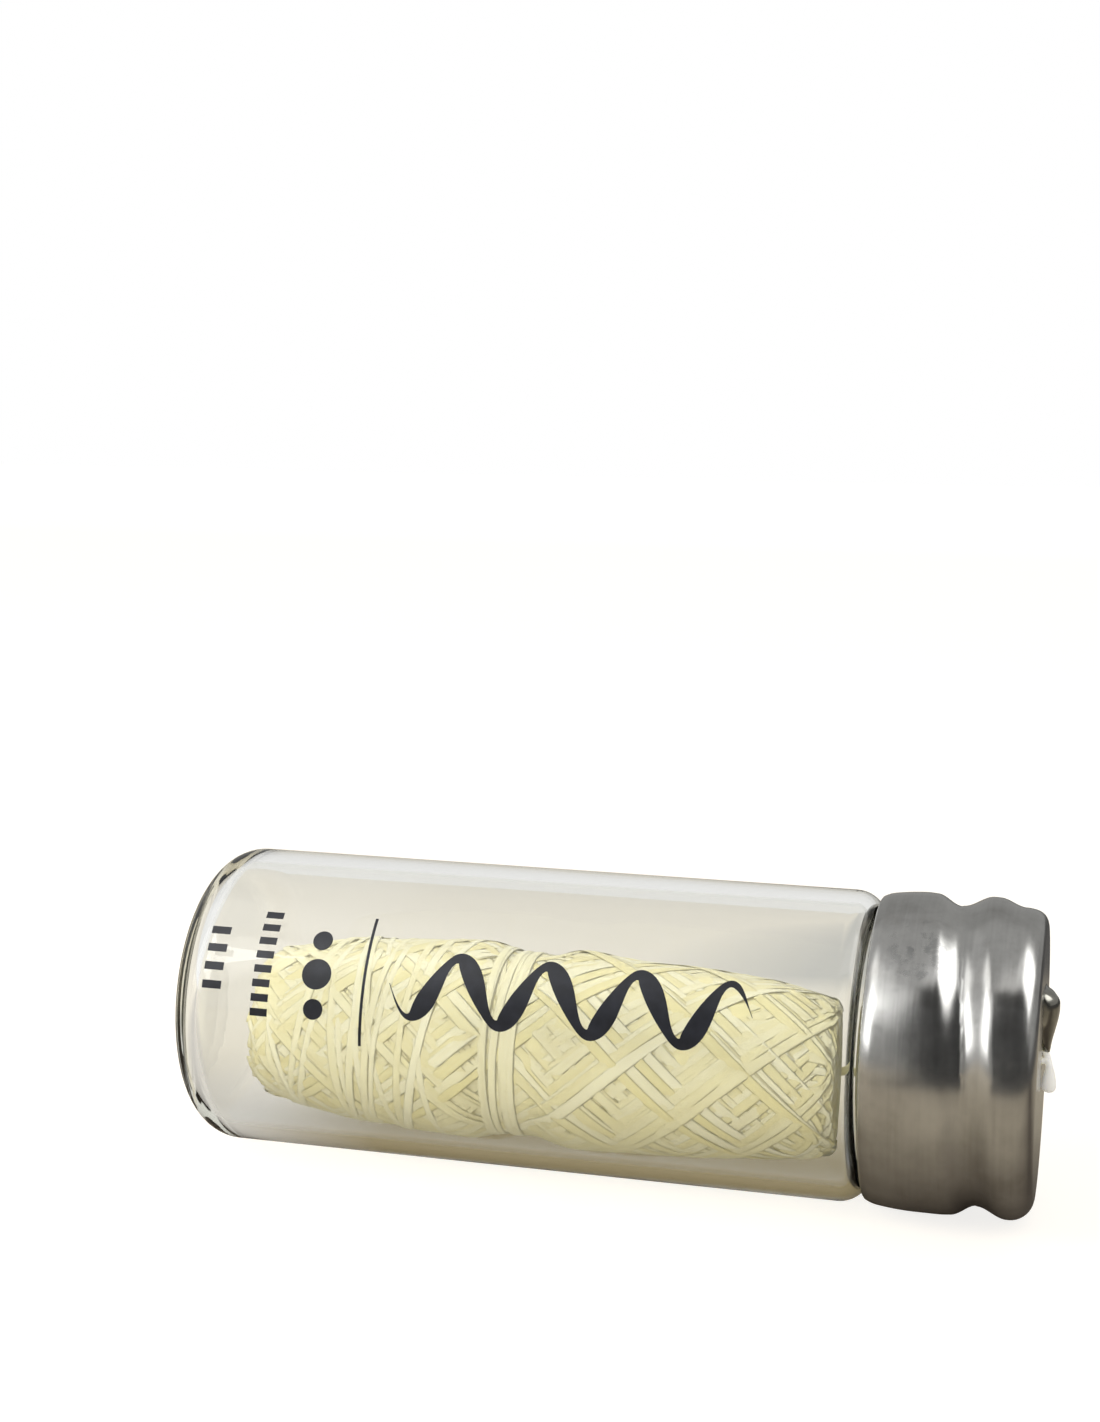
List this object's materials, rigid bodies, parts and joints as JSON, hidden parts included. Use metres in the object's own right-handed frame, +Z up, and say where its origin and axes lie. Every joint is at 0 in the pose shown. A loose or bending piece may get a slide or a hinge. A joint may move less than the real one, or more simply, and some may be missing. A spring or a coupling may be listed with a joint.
{
  "type": "dental floss dispenser",
  "caption": "Clear glass vial lying on its side, closed by a rolled-thread metal screw cap with a lanced cutter, holding a loose cocoon of wound floss.",
  "frame": {"origin": "middle of the bounding box, on the surface that the lying dispenser rests on", "axes": "+X along the vial's axis from its base to the cap's face, +Z up as it lies, +Y away from a viewer who has the cap on the right"},
  "size_m": [0.0854, 0.0306, 0.0305],
  "materials": {
    "glass": "clear, polished",
    "cap_metal": "satin",
    "cutter_metal": "satin, darker where it bends",
    "liner": "matte",
    "floss": "waxed fibre, slightly translucent"
  },
  "bodies": {
    "vial": {"glass_vial": "glass", "floss_strand": "floss"},
    "cocoon": {"floss_core": "floss", "floss_winding": "floss"},
    "liner": {"cap_liner": "liner"},
    "cap": {"cap_shell": "cap_metal", "floss_cutter": "cutter_metal", "floss_tail": "floss"}
  },
  "joints": [
    {"name": "cap_rise", "type": "slide", "parent": "vial", "child": "liner", "axis": [1, 0, 0], "range_m": [0, 0.0151], "deforming": ["floss_strand"]},
    {"name": "cap_turn", "type": "hinge", "parent": "liner", "child": "cap", "pos_m": [0.04127, 0, 0.01525], "axis": [1, 0, 0], "range_deg": [0, 900]},
    {"name": "cocoon_slide", "type": "slide", "parent": "vial", "child": "cocoon", "axis": [1, 0, 0], "range_m": [-0.0034, 0.004], "deforming": ["floss_strand"]}
  ],
  "couplings": [
    {"joint": "cap_rise", "follows": "cap_turn", "m_per_rad": 0.00095493}
  ]
}
